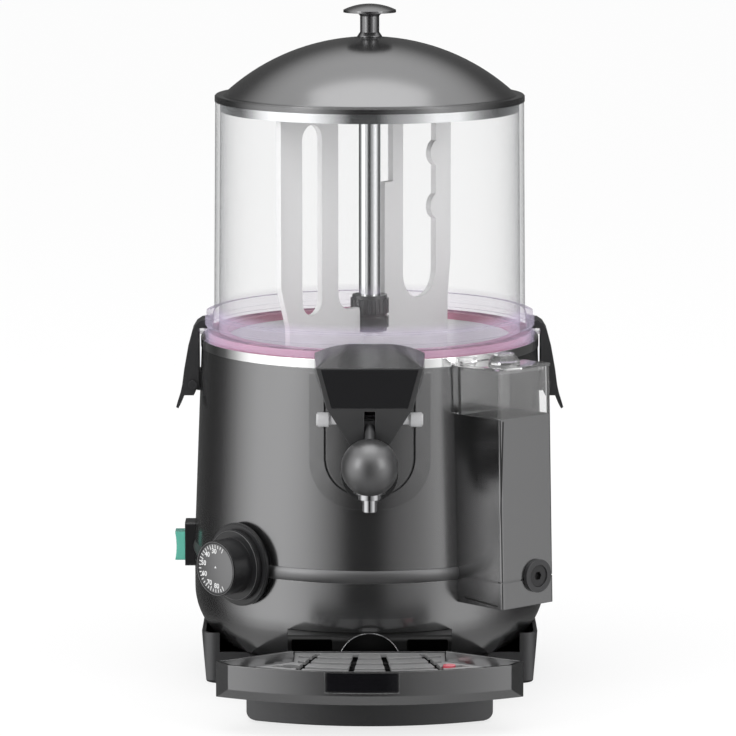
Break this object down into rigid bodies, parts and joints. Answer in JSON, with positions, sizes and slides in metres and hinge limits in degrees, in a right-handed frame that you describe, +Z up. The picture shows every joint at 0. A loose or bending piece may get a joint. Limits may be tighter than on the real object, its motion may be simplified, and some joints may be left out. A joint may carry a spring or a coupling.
{
  "type": "hot chocolate dispenser",
  "caption": "Counter-top machine that keeps drinking chocolate hot in a stirred clear bowl over a water jacket and pours it through a front tap onto a cup tray.",
  "frame": {"origin": "on the bowl's vertical axis, in the plane of the undersides of the rubber feet", "axes": "-Y is the front, where the tap is; +X is the right of a viewer who stands in front; +Z is up"},
  "size_m": [0.3229, 0.4135, 0.5556],
  "materials": {
    "shell_paint": "satin metallic charcoal",
    "base_plastic": "fine-grained dark moulding",
    "tap_plastic": "satin dark moulding",
    "black_gloss": "polished black",
    "black_plastic": "matt black",
    "lid_plastic": "satin dark grey",
    "steel": "brushed",
    "polished_steel": "polished",
    "galvanised": "dull zinc",
    "clear_plastic": "clear polycarbonate",
    "rubber_black": "matt",
    "rubber_red": "translucent red silicone",
    "rubber_white": "matt",
    "paddle_plastic": "pale grey moulding",
    "pin_plastic": "pale grey",
    "green_plastic": "translucent green",
    "red_plastic": "red",
    "cast_housing": "painted casting",
    "ceramic": "cream moulding"
  },
  "bodies": {
    "machine": {"foot_strips": "rubber_black", "base_housing": "base_plastic", "floor_plate": "galvanised", "screws": "galvanised", "cable_gland": "rubber_black", "lower_shell": "shell_paint", "joint_band": "shell_paint", "upper_shell": "shell_paint", "drive_deck": "galvanised", "water_tank": "steel", "tank_gasket": "rubber_white", "heating_ring": "steel", "temperature_probe": "steel", "gearbox": "cast_housing", "motor": "black_plastic", "chocolate_pot": "polished_steel", "shaft_seal": "rubber_black", "bowl_gasket": "rubber_red", "bowl": "clear_plastic", "tap_panel": "tap_plastic", "valve_body": "tap_plastic", "outlet_seal": "rubber_black", "nozzle": "black_plastic", "valve_cap": "black_plastic", "valve_washer": "rubber_black", "valve_spring": "steel", "pivot_pin": "pin_plastic", "tap_hood": "tap_plastic", "front_plate": "black_gloss", "filler_housing": "shell_paint", "filler_pipe": "steel", "filler_window": "clear_plastic", "drain_collar": "base_plastic", "thermostat_bezel": "black_plastic", "thermostat_body": "ceramic", "switch_housing": "black_plastic", "latch_brackets": "black_plastic", "latch_pins": "galvanised"},
    "lid": {"lid_dome": "lid_plastic", "lid_skirt": "polished_steel", "lid_knob": "lid_plastic", "lid_screw": "galvanised"},
    "stirrer": {"drive_shaft": "steel", "shaft_tube": "polished_steel", "stirrer_hub": "black_plastic", "stirrer_paddle": "paddle_plastic", "stirrer_nut": "polished_steel"},
    "tap_handle": {"tap_lever": "base_plastic", "tap_ball": "tap_plastic"},
    "valve": {"valve_piston": "pin_plastic"},
    "thermostat_dial": {"thermostat_knob": "black_plastic", "thermostat_spindle": "steel"},
    "rocker": {"switch_rocker": "green_plastic"},
    "left_latch": {"latch_left": "base_plastic"},
    "right_latch": {"latch_right": "base_plastic"},
    "tray": {"drip_tray": "base_plastic"},
    "grille": {"tray_grille": "base_plastic"},
    "float": {"tray_float": "red_plastic"},
    "filler_cover": {"filler_lid": "clear_plastic"},
    "drain": {"drain_plug": "black_plastic"}
  },
  "joints": [
    {"name": "lid_lift", "type": "slide", "parent": "machine", "child": "lid", "axis": [0, 0, 1], "range_m": [0, 0.15]},
    {"name": "stirrer_spin", "type": "hinge", "parent": "machine", "child": "stirrer", "pos_m": [0, 0, 0.3], "axis": [0, 0, 1], "continuous": true},
    {"name": "tap_lever_pull", "type": "hinge", "parent": "machine", "child": "tap_handle", "pos_m": [0, -0.16, 0.236], "axis": [-1, 0, 0], "range_deg": [0, 18], "stiffness_Nm_per_rad": 1.2, "springref_deg": -11.46},
    {"name": "valve_lift", "type": "slide", "parent": "machine", "child": "valve", "axis": [0, 0, 1], "range_m": [0, 0.0058], "deforming": ["valve_spring"]},
    {"name": "thermostat_turn", "type": "hinge", "parent": "machine", "child": "thermostat_dial", "pos_m": [-0.11314, -0.11314, 0.108], "axis": [0.7071, 0.7071, 0], "range_deg": [0, 270]},
    {"name": "switch_rock", "type": "hinge", "parent": "machine", "child": "rocker", "pos_m": [-0.1513, 0, 0.104], "axis": [0, 1, 0], "range_deg": [-6, 6]},
    {"name": "latch_left_swing", "type": "hinge", "parent": "machine", "child": "left_latch", "pos_m": [-0.1466, 0, 0.2412], "axis": [0, -1, 0], "range_deg": [0, 30]},
    {"name": "latch_right_swing", "type": "hinge", "parent": "machine", "child": "right_latch", "pos_m": [0.1466, 0, 0.2412], "axis": [0, 1, 0], "range_deg": [0, 30]},
    {"name": "tray_slide", "type": "slide", "parent": "machine", "child": "tray", "axis": [0, -1, 0], "range_m": [0, 0.12]},
    {"name": "grille_lift", "type": "slide", "parent": "tray", "child": "grille", "axis": [0, 0, 1], "range_m": [0, 0.08]},
    {"name": "float_rise", "type": "slide", "parent": "tray", "child": "float", "axis": [0, 0, 1], "range_m": [0, 0.004]},
    {"name": "filler_lid_lift", "type": "slide", "parent": "machine", "child": "filler_cover", "axis": [-0.0191, 0.0227, 0.9996], "range_m": [0, 0.06]},
    {"name": "drain_plug_turn", "type": "hinge", "parent": "machine", "child": "drain", "pos_m": [0.13395, -0.14501, 0.10653], "axis": [0.6425, -0.7657, 0.0297], "continuous": true}
  ],
  "couplings": [
    {"joint": "valve_lift", "follows": "tap_lever_pull", "m_per_rad": 0.018}
  ]
}
